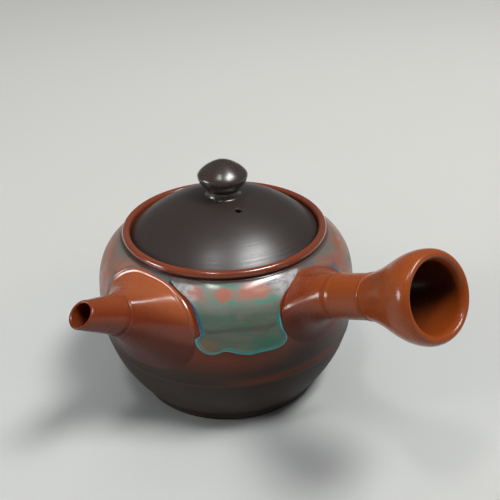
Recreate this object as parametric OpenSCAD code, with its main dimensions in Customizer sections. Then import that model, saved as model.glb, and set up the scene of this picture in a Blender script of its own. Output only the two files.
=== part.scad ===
// Kyusu teapot: a thrown clay pot with a side handle, a spout, a lifting lid and a strainer.
// Millimetres. The origin is on the body's axis at the table, +Z up, the spout points to -X.

/* [Body] */
// widest diameter of the body
belly_d = 110; // [100:1:120]
// height of the widest circle above the table
belly_z = 41; // [38:1:44]
// diameter of the flat ring that stands on the table
base_d = 79; // [72:1:82]
// height of the sharp ridge above the undercut foot
foot_h = 7.5; // [6:0.5:9]
// diameter of that ridge
foot_ridge_d = 87.2; // [84:0.4:92]
// how far the foot is cut in under its ridge
foot_undercut = 2.4; // [1:0.2:3]
// width of the ring that stands on the table
foot_land = 6; // [4:0.5:9]
// depth of the hollow under the base
foot_hollow = 1.5; // [0.5:0.5:2.5]
// how full the lower curve is, a power
lower_fullness = 2.2; // [1.8:0.1:2.8]
// how full the shoulder curve is, a power
upper_fullness = 3.9; // [3:0.1:4.6]
// thickness of the thrown wall
wall = 3; // [2.4:0.1:3.6]
// thickness of the floor
floor_t = 4; // [3:0.5:6]

/* [Mouth] */
// height of the top of the lip
lip_z = 75.1; // [72:0.1:78]
// inside diameter of the lip
gallery_d = 80; // [76:0.5:84]
// width of the rolled lip
lip_w = 3.4; // [2.8:0.1:4]
// depth from the top of the lip to the seat of the lid
seat_depth = 3.9; // [3.4:0.1:4.6]
// thickness of the seat
seat_t = 2.6; // [2:0.1:3.2]
// diameter of the opening inside the seat
mouth_d = 71; // [66:0.5:73]

/* [Lid] */
// gap between the lid and the lip, all round
lid_gap = 0.5; // [0.3:0.1:1]
// height of the lid's edge
lid_edge_h = 1.6; // [1:0.1:2.4]
// rise of the dome above the edge
dome_h = 16; // [12:0.5:20]
// thickness of the dome
lid_wall = 3; // [2.4:0.1:3.6]
// gap between the flange and the opening, all round
flange_gap = 0.7; // [0.4:0.1:1.2]
// thickness of the flange
flange_w = 3; // [2.4:0.1:4]
// depth of the flange below the seat
flange_h = 6; // [4:0.5:9]
// diameter of the steam hole
vent_d = 2.8; // [2:0.2:4]
// distance of the steam hole from the lid's axis
vent_from_axis = 14.7; // [12:0.1:20]
// direction of the steam hole seen from above, degrees
vent_azimuth = -112; // [-180:1:180]

/* [Knob] */
// widest diameter of the knob
knob_d = 20.9; // [18:0.1:24]
// height of the widest circle above the dome's top
knob_widest = 8.4; // [7:0.1:10]
// height of the knob above the dome's top
knob_h = 15; // [12:0.5:18]
// diameter of the waist under the knob
knob_waist_d = 13.6; // [11:0.1:15]
// diameter of the knob's foot on the lid
knob_foot_d = 16.6; // [15.5:0.1:19]

/* [Spout] */
// climb of the spout's axis, degrees
spout_tilt = 25.8; // [22:0.2:29]
// height at which the spout's axis meets the body's axis
spout_axis_z = 29; // [27:0.5:31]
// distance along the spout's axis from the body's axis to the mouth
spout_reach = 87.4; // [82:0.2:94]
// length of the narrow tube
tip_len = 18; // [14:0.5:22]
// outside diameter at the mouth
tip_mouth_d = 11.2; // [10:0.1:13]
// outside diameter at the tube's inner end
tip_end_d = 16.2; // [14:0.1:17]
// bore at the mouth
tip_bore_d = 8.8; // [7:0.1:9.4]
// bore at the tube's inner end
tip_end_bore_d = 11.6; // [10:0.1:12]
// slant of the cut mouth, degrees
mouth_slant = 19.6; // [0:0.2:24]
// outside diameter of the raised seam between tube and root
seam_d = 17.4; // [17:0.1:19]
// outside diameter of the root at its hidden end inside the wall
root_d = 55; // [52:1:57]
// how far the root's curve runs on inside the wall, along the spout's axis
root_sink = 13.6; // [12:0.2:15]
// how much the root swells halfway
root_swell = 4.7; // [3:0.1:6]
// half angle that spreads the root sideways into an oval, degrees
root_spread = 5; // [1:0.5:7]
// bore of the root at its hidden end
root_bore_d = 32; // [28:1:34]
// diameter of the hole in the body wall behind the spout
spout_hole_d = 22; // [18:0.5:23]

/* [Handle] */
// angle from the spout round to the handle seen from above, degrees
handle_angle = 82.5; // [75:0.5:95]
// climb of the handle's axis, degrees
handle_tilt = 24; // [20:0.5:27]
// height at which the handle's axis meets the body's axis
handle_axis_z = 38.7; // [36:0.1:40]
// distance along the handle's axis from the body's axis to the grip's end
handle_reach = 125; // [118:0.5:135]
// length of the bell-shaped grip
grip_len = 30.4; // [26:0.2:36]
// widest diameter of the grip
grip_d = 33.2; // [29:0.2:37]
// diameter of the grip's open end
grip_hole_d = 26.8; // [22:0.2:28]
// length of the rounded rim of the grip
grip_rim = 3.4; // [2.4:0.1:4.4]
// length of the stem between its two raised seams
stem_len = 18.1; // [14:0.1:20]
// diameter of the stem
stem_d = 17.4; // [16:0.1:18]
// diameter of the raised seams of the stem
stem_seam_d = 18.6; // [18.2:0.1:20]
// bore of the stem
stem_bore_d = 11; // [8:0.5:12]
// depth of the blind bore inside the root, from its outer seam
root_bore_depth = 11; // [6:0.5:12]
// diameter of the handle's root at its hidden end inside the wall
handle_root_d = 37; // [34:1:40]
// how far the root's curve runs on inside the wall, along the handle's axis
handle_root_sink = 13.3; // [11:0.1:15]
// how much the root swells halfway
handle_root_swell = 1.8; // [1:0.1:3]
// droop of the root below the handle's axis, degrees
root_droop = 9; // [4:1:12]

/* [Strainer] */
// radius of the strainer's dome
strainer_r = 20; // [19:0.5:22]
// how far the dome stands into the pot
strainer_bulge = 7; // [5:0.5:9]
// thickness of the strainer
strainer_t = 1.8; // [1.4:0.1:2.4]
// diameter of the pierced holes
pierce_d = 1.6; // [1:0.1:2]
// distance between pierced holes
pierce_pitch = 2.9; // [2.7:0.1:3.6]
// diameter of the pierced field
pierced_d = 21; // [14:0.5:21]

/* [Glaze] */
// thickness of the glaze coat
glaze_t = 0.6; // [0.4:0.1:1]
// mean height of the glaze's lower edge
glaze_low_z = 45.6; // [43:0.1:50]
// height of the waves of the front lower edge
glaze_wave = 0.7; // [0.2:0.1:1.5]
// width of the front run of glaze
glaze_w = 35; // [30:0.5:38]
// direction of the middle of the front run, degrees
glaze_azimuth = -130.4; // [-134:0.2:-127]
// radius of the drips of the rear lower edge
drip_r = 13; // [12:0.5:15]
// gap between the glaze and the clay roots of spout and handle
glaze_gap = 0.4; // [0.2:0.1:1]

/* [Hidden] */
$fn = 96;

red_clay = [0.47, 0.25, 0.16];
handle_clay = [0.62, 0.36, 0.19];
dark_clay = [0.16, 0.14, 0.13];
teal_glaze = [0.33, 0.46, 0.45];

belly_r = belly_d / 2;
gallery_r = gallery_d / 2;
lip_r = lip_w / 2;
lip_centre = [gallery_r + lip_r, lip_z - lip_r];
neck = lip_centre + lip_r * [cos(-75), sin(-75)];
seat_z = lip_z - seat_depth;
mouth_r = mouth_d / 2;
floor_z = foot_hollow + floor_t;
foot_r = foot_ridge_d / 2 - foot_undercut;

lid_r = gallery_r - lid_gap;
lid_edge_z = seat_z + lid_edge_h;
dome_top = lid_edge_z + dome_h;
dome_r = (lid_r * lid_r + dome_h * dome_h) / (2 * dome_h);
dome_centre_z = dome_top - dome_r;
flange_r = mouth_r - flange_gap;

// distances along the axes of spout and handle
spout_wall_s = (belly_r - wall - 0.7) / cos(spout_tilt);
seam_s = spout_reach - tip_len;
root_end_s = spout_wall_s - root_sink;
strainer_centre = spout_wall_s - strainer_bulge + strainer_r;
handle_wall_s = (belly_r - 2.2) / cos(handle_tilt);
grip_s = handle_reach - grip_len;
stem_s = grip_s - stem_len;
handle_root_len = stem_s - handle_wall_s + handle_root_sink;
handle_azimuth = 180 + handle_angle;

// points of a curve with one and with two guide points
function curve3(a, b, c, n = 10) =
    [for (i = [0:n]) let (t = i / n) (1 - t) * (1 - t) * a + 2 * t * (1 - t) * b + t * t * c];
function curve4(a, b, c, d, n = 14) =
    [for (i = [0:n]) let (t = i / n, u = 1 - t)
        u * u * u * a + 3 * t * u * u * b + 3 * t * t * u * c + t * t * t * d];
function round_points(centre, r, from, to, n = 10) =
    [for (i = [0:n]) let (a = from + (to - from) * i / n) centre + r * [cos(a), sin(a)]];

// radius of the thrown outside at a height, its slope, and a point a distance outside it
function body_radius(z) = z < belly_z
    ? belly_r - (belly_r - foot_ridge_d / 2) * pow((belly_z - z) / (belly_z - foot_h), lower_fullness)
    : belly_r - (belly_r - neck[0]) * pow((z - belly_z) / (neck[1] - belly_z), upper_fullness);
function body_slope(z) = (body_radius(z + 0.01) - body_radius(z - 0.01)) / 0.02;
function body_point(z, out = 0) = let (m = body_slope(z))
    [body_radius(z), z] + out / sqrt(1 + m * m) * [1, -m];
function heights(low, high, n) = [for (i = [0:n]) low + (high - low) * sin(90 * i / n)];

outside = concat([[base_d / 2, 0], [foot_r, foot_h - 1.5]],
                 [for (z = heights(foot_h, belly_z, 9)) body_point(z)],
                 [for (i = [1:13]) body_point(belly_z + (neck[1] - belly_z) * sin(90 * i / 13))],
                 [for (i = [1:12]) lip_centre + lip_r * [cos(-75 + 255 * i / 12), sin(-75 + 255 * i / 12)]]);

wall_low = body_point(foot_h + 8, -wall);
cavity = concat([[0, floor_z]],
                curve3([wall_low[0] - 14, floor_z], [wall_low[0] - 3, floor_z], wall_low, 6),
                [for (z = heights(foot_h + 11, belly_z, 5)) body_point(z, -wall)],
                [for (i = [1:11]) body_point(belly_z + (neck[1] - 0.8 - belly_z) * sin(90 * i / 11), -wall)],
                [[mouth_r + 1, seat_z - seat_t], [mouth_r, seat_z - seat_t + 1]]);

// outlines of the two luted roots, from the hidden end to the seam, a gap larger all round
function spout_flare(gap = 0) = curve3(
    [root_d / 2 + gap, root_end_s], [seam_d / 2 + root_swell + gap, (seam_s + root_end_s) / 2 + 0.5],
    [seam_d / 2 + gap, seam_s - 0.6]);
function handle_flare(gap = 0) = curve3(
    [handle_root_d / 2 + gap, -handle_root_len],
    [stem_d / 2 + handle_root_swell + gap, -handle_root_len / 2], [stem_d / 2 + gap, 0]);

module along_spout() {
    translate([0, 0, spout_axis_z]) rotate([0, spout_tilt - 90, 0]) children();
}

module along_handle() {
    translate([0, 0, handle_axis_z]) rotate([0, 90 - handle_tilt, handle_azimuth]) children();
}

// the body's outside as one filled outline and solid, to fit the other pieces to it
module filled_outline() {
    polygon(concat([[0, 0]], outside, [[0, lip_z]]));
}

module body_envelope() {
    rotate_extrude() filled_outline();
}

module pot_body() {
    color(red_clay) difference() {
        rotate_extrude() polygon(concat(
            [[0, foot_hollow], [base_d / 2 - foot_land - foot_hollow, foot_hollow],
             [base_d / 2 - foot_land, 0]],
            outside,
            [[gallery_r, seat_z], [mouth_r, seat_z]],
            [for (i = [len(cavity) - 1:-1:0]) cavity[i]]));
        along_spout() translate([0, 0, spout_wall_s - 14]) cylinder(d = spout_hole_d, h = 28);
    }
}

// the spout's filled root: two equal trumpets, spread apart about the seam
module spout_trumpets(gap = 0) {
    along_spout() for (turn = [-root_spread, root_spread])
        translate([0, 0, seam_s]) rotate([turn, 0, 0]) translate([0, 0, -seam_s])
            rotate_extrude() polygon(concat([[0, root_end_s]], spout_flare(gap), [[0, seam_s - 0.6]]));
}

module spout_root() {
    color(red_clay) difference() {
        union() {
            spout_trumpets();
            along_spout() translate([0, 0, seam_s - 3]) cylinder(d = seam_d, h = 3);
        }
        along_spout() translate([0, 0, seam_s]) cylinder(d = 3 * seam_d, h = 10);
        along_spout() rotate_extrude() polygon(concat(
            [[0, root_end_s - 1], [root_bore_d / 2, root_end_s - 1]],
            curve3([root_bore_d / 2, root_end_s], [tip_end_bore_d / 2 + 3, seam_s - 8],
                   [tip_end_bore_d / 2, seam_s]),
            [[tip_end_bore_d / 2, seam_s + 1], [0, seam_s + 1]]));
        body_envelope();
    }
}

module spout_tip() {
    color(red_clay) along_spout() difference() {
        rotate_extrude() polygon([
            [tip_end_bore_d / 2, seam_s], [tip_end_d / 2, seam_s],
            [tip_mouth_d / 2, spout_reach], [tip_mouth_d / 2 - 0.3, spout_reach + 6],
            [tip_bore_d / 2 - 0.2, spout_reach + 6], [tip_bore_d / 2, spout_reach]]);
        translate([0, 0, spout_reach]) rotate([0, mouth_slant, 0])
            translate([-20, -20, 0]) cube([40, 40, 20]);
    }
}

module handle_root() {
    color(handle_clay) difference() {
        along_handle() difference() {
            union() {
                translate([0, 0, stem_s - 4]) rotate_extrude() polygon([
                    [0, 0], [stem_d / 2, 0], [stem_d / 2, 2.6], [stem_seam_d / 2, 4],
                    [stem_d / 2, 5.2], [stem_d / 2, stem_len + 2.6], [stem_seam_d / 2, stem_len + 3.4],
                    [stem_seam_d / 2, stem_len + 4], [0, stem_len + 4]]);
                translate([0, 0, stem_s]) rotate([0, -root_droop, 0]) rotate_extrude() polygon(concat(
                    [[0, -handle_root_len]], handle_flare(), [[0, 0]]));
            }
            translate([0, 0, stem_s - root_bore_depth])
                cylinder(d = stem_bore_d, h = stem_len + root_bore_depth + 1);
        }
        body_envelope();
    }
}

module handle_grip() {
    rim_s = handle_reach - grip_rim;
    rim_in = (grip_d - grip_hole_d) / 2;
    color(handle_clay) along_handle() rotate_extrude() polygon(concat(
        [[stem_bore_d / 2, grip_s]],
        curve4([stem_d / 2 + 0.3, grip_s], [grip_d / 2 - 5.7, rim_s - 15.6],
               [grip_d / 2, rim_s - 9.6], [grip_d / 2, rim_s]),
        [for (a = [15:15:150])
            [grip_d / 2 - rim_in / 1.87 * (1 - cos(a)), rim_s + grip_rim * sin(a)]],
        curve4([grip_hole_d / 2 - 0.2, rim_s - 2], [grip_hole_d / 2 - 0.6, rim_s - 9],
               [stem_bore_d / 2 + 3, rim_s - 15], [stem_bore_d / 2, grip_s + 6], 10)));
}

module tea_strainer() {
    rows = floor(pierced_d / pierce_pitch);
    color(red_clay) difference() {
        intersection() {
            along_spout() translate([0, 0, strainer_centre]) difference() {
                sphere(r = strainer_r);
                sphere(r = strainer_r - strainer_t);
            }
            rotate_extrude() polygon(concat(cavity, [[0, seat_z - seat_t + 1]]));
        }
        along_spout() for (i = [-rows:rows], j = [-rows:rows]) {
            place = pierce_pitch * [i + j / 2, j * sin(60)];
            if (norm(place) <= (pierced_d - pierce_d) / 2)
                translate([place[0], place[1], strainer_centre - strainer_r - 2])
                    cylinder(d = pierce_d, h = 10);
        }
    }
}

// the glaze coat as a full ring, before the clay windows are cut in it
module glaze_ring(low_z) {
    top_z = neck[1] - 0.6;
    steps = [for (i = [0:12]) low_z + (top_z - low_z) * sin(90 * i / 12)];
    rotate_extrude() difference() {
        polygon(concat(
            [for (z = steps) body_point(z, -wall / 2)],
            [for (i = [12:-1:0]) body_point(steps[i], glaze_t * min(1, i / 2))]));
        filled_outline();
    }
}

// the spout and handle roots made larger by the gap, to keep the glaze off them
module glaze_windows() {
    spout_trumpets(glaze_gap);
    along_handle() translate([0, 0, stem_s]) rotate([0, -root_droop, 0]) rotate_extrude() polygon(concat(
        [[0, -handle_root_len]], handle_flare(glaze_gap), [[0, 0]]));
}

// the front run's outline, wide and high, with a waved lower edge and rounded corners
function front_edge(x) = glaze_low_z + glaze_wave * sin(x * 14 + 40)
    + 5 * pow(abs(x) / (glaze_w / 2), 14);

module front_glaze() {
    color(teal_glaze) difference() {
        intersection() {
            glaze_ring(glaze_low_z - 2);
            rotate([90, 0, glaze_azimuth + 90]) translate([0, 0, belly_r - 22]) linear_extrude(26)
                polygon(concat(
                    [for (i = [-20:20]) let (x = glaze_w / 2 * sin(90 * i / 20)) [x, front_edge(x)]],
                    [[glaze_w / 2 + 3, lip_z], [-glaze_w / 2 - 6, lip_z]]));
        }
        glaze_windows();
    }
}

module rear_glaze() {
    color(teal_glaze) difference() {
        intersection() {
            glaze_ring(glaze_low_z - 2);
            union() {
                translate([0, 0, glaze_low_z + 6]) cylinder(r = belly_r + 4, h = 40);
                for (a = [-72:22:148]) rotate([0, 0, a])
                    translate([belly_r - 12, 0, glaze_low_z + drip_r - 1.4 + sin(a * 5)])
                        rotate([0, 90, 0]) cylinder(r = drip_r, h = 16);
            }
        }
        rotate([0, 0, 180]) translate([0, 0, glaze_low_z - 10]) rotate_extrude(angle = handle_angle)
            square([belly_r + 6, 50]);
        glaze_windows();
    }
}

module lid() {
    color(dark_clay) difference() {
        rotate_extrude() polygon(concat(
            [[lid_r - 0.5, seat_z], [lid_r, seat_z + 0.5]],
            [for (i = [0:16]) let (r = lid_r * cos(90 * i / 16))
                [r, dome_centre_z + sqrt(dome_r * dome_r - r * r)]],
            [for (i = [0:12]) let (r = (flange_r - flange_w) * sin(90 * i / 12))
                [r, dome_centre_z + sqrt(pow(dome_r - lid_wall, 2) - r * r)]],
            [[flange_r - flange_w, seat_z - flange_h], [flange_r - 0.6, seat_z - flange_h],
             [flange_r, seat_z - flange_h + 0.6], [flange_r, seat_z]]));
        translate([0, 0, dome_centre_z]) rotate([0, asin(vent_from_axis / dome_r), vent_azimuth])
            translate([0, 0, dome_r - lid_wall - 2]) cylinder(d = vent_d, h = lid_wall + 4);
    }
}

module lid_knob() {
    widest_z = dome_top + knob_widest;
    foot_z = dome_centre_z + sqrt(dome_r * dome_r - knob_foot_d * knob_foot_d / 4);
    color(dark_clay) rotate_extrude() polygon(concat(
        [for (i = [0:6]) let (r = knob_foot_d / 2 * i / 6) [r, dome_centre_z + sqrt(dome_r * dome_r - r * r)]],
        curve3([knob_foot_d / 2, foot_z], [knob_waist_d / 2, foot_z + 0.8],
               [knob_waist_d / 2, dome_top + 2.4], 6),
        [for (i = [1:8]) [knob_waist_d / 2 + (knob_d - knob_waist_d) / 2 * sin(90 * i / 8),
                          dome_top + 2.4 + (knob_widest - 2.4) * i / 8]],
        [for (i = [1:12]) [knob_d / 2 * cos(90 * i / 12),
                           widest_z + (knob_h - knob_widest) * pow(sin(90 * i / 12), 1.56)]]));
}

pot_body();
spout_root();
spout_tip();
handle_root();
handle_grip();
tea_strainer();
front_glaze();
rear_glaze();
lid();
lid_knob();
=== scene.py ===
"""Kyusu teapot: the thrown, luted and glazed surfaces over the packed solids, and a plain stage."""
import math
import bpy
import numpy as np
from bpy.props import FloatProperty, FloatVectorProperty, PointerProperty
from mathutils import Matrix, Vector


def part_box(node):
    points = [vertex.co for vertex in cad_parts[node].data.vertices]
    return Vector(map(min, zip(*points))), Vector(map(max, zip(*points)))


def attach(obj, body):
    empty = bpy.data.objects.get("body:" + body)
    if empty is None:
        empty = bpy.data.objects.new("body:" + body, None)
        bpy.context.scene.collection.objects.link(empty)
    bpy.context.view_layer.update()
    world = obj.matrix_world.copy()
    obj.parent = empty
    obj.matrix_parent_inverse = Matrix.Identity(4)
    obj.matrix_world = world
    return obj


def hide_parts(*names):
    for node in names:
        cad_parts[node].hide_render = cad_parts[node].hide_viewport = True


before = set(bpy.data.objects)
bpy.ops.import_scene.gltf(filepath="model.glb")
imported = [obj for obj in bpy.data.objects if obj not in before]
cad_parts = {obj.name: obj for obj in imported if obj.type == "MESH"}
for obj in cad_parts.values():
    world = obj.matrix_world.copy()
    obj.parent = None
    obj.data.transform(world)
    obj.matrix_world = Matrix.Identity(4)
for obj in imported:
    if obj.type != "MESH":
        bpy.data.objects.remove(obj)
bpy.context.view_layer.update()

bl_info = {
    "name": "Kyusu teapot",
    "version": (1, 0, 0),
    "blender": (4, 5, 0),
    "location": "View3D > Sidebar > Teapot",
    "description": "Thrown clay teapot with a side handle, run glaze and a lifting lid",
    "category": "Add Mesh",
}

body_low, body_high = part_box("pot_body")
lid_low, lid_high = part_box("lid")
knob_low, knob_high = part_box("lid_knob")


def seen(red, green, blue):
    """A colour written as it looks on a screen, 0 to 255, turned into the renderer's linear values."""
    share = np.array([red, green, blue]) / 255
    linear = np.where(share <= 0.04045, share / 12.92, ((share + 0.055) / 1.055) ** 2.4)
    return tuple(float(v) for v in linear)


def length(name, description, default):
    """One size property, in metres."""
    return FloatProperty(name=name, description=description, default=default, unit="LENGTH", precision=5)


def angle(name, description, degrees):
    """One angle property, given in degrees."""
    return FloatProperty(name=name, description=description, default=math.radians(degrees),
                         subtype="ANGLE", unit="ROTATION")


def exponent(name, description, default):
    """One power of a curve, a plain number."""
    return FloatProperty(name=name, description=description, default=default)


def colour(name, description, default):
    """One colour property."""
    return FloatVectorProperty(name=name, description=description, default=default, size=3,
                               subtype="COLOR", min=0, max=1)


class BodyShape(bpy.types.PropertyGroup):
    """Sizes of the thrown body"""
    belly_radius: length("Belly radius", "Widest radius of the body", (body_high[0] - body_low[0]) / 2)
    belly_height: length("Belly height", "Height of the widest circle", 0.041)
    ridge_radius: length("Foot ridge radius", "Radius of the ridge above the foot", 0.0436)
    ridge_height: length("Foot ridge height", "Height of the ridge above the foot", 0.0075)
    base_radius: length("Base radius", "Radius of the standing ring", 0.0395)
    undercut: length("Foot undercut", "How far the foot is cut in under its ridge", 0.0024)
    land: length("Standing ring", "Width of the ring that stands on the table", 0.006)
    hollow: length("Base hollow", "Depth of the hollow under the base", 0.0015)
    floor: length("Floor", "Thickness of the floor", 0.004)
    wall: length("Wall", "Thickness of the wall", 0.003)
    lip_height: length("Lip height", "Height of the lip's top", body_high[2])
    gallery_radius: length("Gallery radius", "Inside radius of the lip", 0.04)
    lip_width: length("Lip width", "Width of the rolled lip", 0.0034)
    seat_depth: length("Seat depth", "Depth of the lid's seat below the lip", 0.0039)
    seat_thickness: length("Seat thickness", "Thickness of the seat", 0.0026)
    mouth_radius: length("Mouth radius", "Radius of the opening inside the seat", 0.0355)
    lower_power: exponent("Lower fullness", "Power of the lower curve", 2.2)
    upper_power: exponent("Shoulder fullness", "Power of the shoulder", 3.9)
    throwing_ridge: length("Throwing ridge", "Height of the soft ridge low on the wall", 0.0295)


class SpoutShape(bpy.types.PropertyGroup):
    """Sizes of the spout"""
    tilt: angle("Climb", "Climb of the spout's axis", 25.8)
    axis_height: length("Axis height", "Height where the spout's axis meets the body's", 0.029)
    reach: length("Reach", "Distance along the axis to the mouth", 0.0874)
    tube: length("Tube length", "Length of the narrow tube", 0.018)
    mouth_radius: length("Mouth radius", "Outside radius at the mouth", 0.0056)
    tube_radius: length("Tube radius", "Outside radius at the tube's inner end", 0.0081)
    mouth_bore: length("Mouth bore", "Radius of the bore at the mouth", 0.0044)
    tube_bore: length("Tube bore", "Radius of the bore at the tube's inner end", 0.0058)
    slant: angle("Mouth slant", "Slant of the cut mouth", 19.6)
    seam_radius: length("Seam radius", "Radius of the raised seam", 0.0087)
    hole_radius: length("Wall hole", "Radius of the hole in the body wall", 0.011)


class HandleShape(bpy.types.PropertyGroup):
    """Sizes of the side handle"""
    turn: angle("Angle from spout", "Angle from the spout round to the handle", 82.5)
    tilt: angle("Climb", "Climb of the handle's axis", 24)
    axis_height: length("Axis height", "Height where the handle's axis meets the body's", 0.0387)
    reach: length("Reach", "Distance along the axis to the grip's end", 0.12499)
    grip: length("Grip length", "Length of the bell-shaped grip", 0.0304)
    grip_radius: length("Grip radius", "Widest radius of the grip", 0.0166)
    hole_radius: length("Hole radius", "Radius of the grip's open end", 0.0126)
    rim: length("Rim length", "Length of the rounded rim", 0.0042)
    stem: length("Stem length", "Length of the stem between its seams", 0.0181)
    stem_radius: length("Stem radius", "Radius of the stem", 0.0087)
    seam_radius: length("Seam radius", "Radius of the raised seams", 0.0093)
    bore_radius: length("Bore radius", "Radius of the stem's bore", 0.0055)


def oval_fields(turn, right, left, height, up, down, power):
    """Properties of the oval border that a luted root has on the body."""
    return {"turn": angle("Turn", "Azimuth of the oval's middle", turn),
            "right": angle("Right half", "Half angle towards larger azimuths", right),
            "left": angle("Left half", "Half angle towards smaller azimuths", left),
            "height": length("Height", "Height of the oval's middle", height),
            "up": length("Upper half", "Half height above the middle", up),
            "down": length("Lower half", "Half height below the middle", down),
            "power": exponent("Squareness", "Power of the superellipse", power)}


class SpoutRootOval(bpy.types.PropertyGroup):
    """Oval border of the spout's root on the body"""
    __annotations__ = oval_fields(turn=180, right=30.8, left=20.6, height=0.0525, up=0.0178, down=0.019,
                                  power=2.65)


class HandleRootOval(bpy.types.PropertyGroup):
    """Oval border of the handle's root on the body"""
    __annotations__ = oval_fields(turn=-93.5, right=21.8, left=19.8, height=0.0575, up=0.0121,
                                  down=0.0155, power=2.0)


class LidShape(bpy.types.PropertyGroup):
    """Sizes of the lid and its knob"""
    radius: length("Lid radius", "Radius of the lid's edge", (lid_high[0] - lid_low[0]) / 2)
    edge: length("Edge height", "Height of the lid's edge above the seat", 0.0016)
    dome: length("Dome height", "Rise of the dome above the edge", 0.016)
    wall: length("Dome thickness", "Thickness of the dome", 0.003)
    flange_gap: length("Flange gap", "Gap between flange and mouth", 0.0007)
    flange_width: length("Flange thickness", "Thickness of the flange", 0.003)
    flange_bottom: length("Flange bottom", "Height of the flange's lower edge", lid_low[2])
    vent_radius: length("Steam hole", "Radius of the steam hole", 0.0014)
    vent_distance: length("Steam hole place", "Distance of the steam hole from the axis", 0.0147)
    vent_turn: angle("Steam hole turn", "Direction of the steam hole", -112)
    knob_radius: length("Knob radius", "Widest radius of the knob", (knob_high[0] - knob_low[0]) / 2)
    knob_top: length("Knob top", "Height of the knob's tip", knob_high[2] - 0.00001)
    knob_widest: length("Knob swell", "Height of the knob's widest circle above the dome", 0.0084)
    waist_radius: length("Waist radius", "Radius of the knob's waist", 0.0068)
    knob_foot: length("Knob foot", "Radius of the knob's foot on the lid", 0.0083)


class GlazeShape(bpy.types.PropertyGroup):
    """Sizes of the run glaze"""
    thickness: length("Thickness", "Thickness of the glaze coat", 0.0006)
    bead: length("Bead", "Extra thickness of the pooled edge", 0.0004)
    lower_edge: length("Lower edge", "Mean height of the rear lower edge", 0.046)


class Finish(bpy.types.PropertyGroup):
    """Colours of the clays and the glaze"""
    red_clay: colour("Red clay", "Burnished red clay of body and spout", seen(116, 45, 19))
    spout_clay: colour("Spout tube clay", "Clay of the spout's tube", seen(111, 46, 19))
    handle_clay: colour("Handle clay", "Lighter clay of the handle", seen(133, 60, 20))
    dark_clay: colour("Smoked clay", "Smoked black clay of the lower body", seen(46, 36, 31))
    lid_clay: colour("Lid clay", "Black clay of the lid", seen(46, 38, 35))
    knob_clay: colour("Knob clay", "Burnished brown black of the knob", seen(50, 40, 36))
    glaze: colour("Glaze", "Grey green of the run glaze", seen(90, 96, 82))
    teal: colour("Teal", "Teal where the glaze is thick", seen(66, 92, 78))
    pool: colour("Pooled edge", "Turquoise of the pooled edge", seen(18, 142, 146))
    salmon: colour("Salmon", "Salmon flush near the shoulder", seen(160, 86, 62))
    indigo: colour("Indigo", "Blue flecks of the glaze", seen(50, 66, 128))


SETS = {"teapot_body": BodyShape, "teapot_spout": SpoutShape, "teapot_spout_root": SpoutRootOval,
        "teapot_handle": HandleShape, "teapot_handle_root": HandleRootOval,
        "teapot_lid": LidShape, "teapot_glaze": GlazeShape, "teapot_finish": Finish}

# Places round a spout, handle or knob, and rows along a luted root.
AROUND, ROOT_ROWS = 192, 80
# Step between a thin edge and the wall that it lies on, in metres.
FILM = 0.00005
POOL_TEAL = seen(24, 104, 100)
GLAZE_EDGE = seen(34, 40, 42)
# Where the dark edge of the glaze starts and is full, in millimetres from its rim.
THIN_EDGE = (0.38, 0.12)
# Each lamp's name, place, size in metres, power in watts and spread in degrees.
LAMPS = (("key_softbox", (0.2, -0.69, 1.5), (0.7, 0.4), 25.0, 180),
         ("back_softbox", (0.7, 1.6, 2.6), (2.6, 2.6), 17.0, 180),
         ("side_window", (-0.46, -0.12, 1.36), (0.17, 0.17), 3.4, 180),
         ("low_window", (-0.96, 0.68, 0.34), (0.42, 0.30), 0.5, 45))


def sets(context, *names):
    """The scene's property groups of these names."""
    return [getattr(context.scene, "teapot_" + name) for name in names]


def bezier(points, count):
    """Bernstein curve through the first and last point, drawn towards the ones between."""
    points = np.asarray(points, float)
    degree = len(points) - 1
    t = np.linspace(0, 1, count)[:, None]
    terms = [math.comb(degree, k) * t ** k * (1 - t) ** (degree - k) * points[k]
             for k in range(degree + 1)]
    return np.sum(terms, axis=0)


def arc(centre, radii, start, end, count):
    """Part of a circle or ellipse: centre + (a cos t, b sin t), t in degrees."""
    t = np.radians(np.linspace(start, end, count))
    return np.asarray(centre) + np.broadcast_to(radii, 2) * np.column_stack([np.cos(t), np.sin(t)])


def closed_spline(points, count):
    """Smooth closed loop through points: each stretch is a Catmull-Rom cubic of four neighbours."""
    p = np.asarray(points, float)
    place = np.linspace(0, len(p), count, endpoint=False)
    i = place.astype(int)
    t = (place - i)[:, None]
    a, b, c, d = (p[(i + k) % len(p)] for k in (-1, 0, 1, 2))
    return 0.5 * (2 * b + (c - a) * t + (2 * a - 5 * b + 4 * c - d) * t ** 2
                  + (3 * b - a - 3 * c + d) * t ** 3)


def smooth(value, low, high):
    """Soft step: 0 below low, 1 above high, 3t^2 - 2t^3 between."""
    t = np.clip((value - low) / (high - low), 0, 1)
    return t * t * (3 - 2 * t)


def bell(value, centre, width):
    """Gauss bump: exp(-((value - centre) / width)^2)."""
    return np.exp(-((value - centre) / width) ** 2)


def between(start, end, share):
    """Straight mix: start + (end - start) share."""
    return start + (end - start) * share


def norm(vectors):
    """Length of each vector."""
    return np.linalg.norm(vectors, axis=-1, keepdims=True)


def dot(first, second):
    """Dot product of each pair of vectors."""
    return np.sum(first * second, axis=-1, keepdims=True)


def full_turn(count):
    """Angles of count places round a circle."""
    return np.linspace(0, 2 * math.pi, count, endpoint=False)


def lip_centre(b):
    """Centre of the rolled lip's round section, as radius and height."""
    return np.array([b.gallery_radius + b.lip_width / 2, b.lip_height - b.lip_width / 2])


def neck(b):
    """Point where the shoulder meets the rolled lip, as radius and height."""
    t = math.radians(-75)
    return lip_centre(b) + b.lip_width / 2 * np.array([math.cos(t), math.sin(t)])


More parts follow.
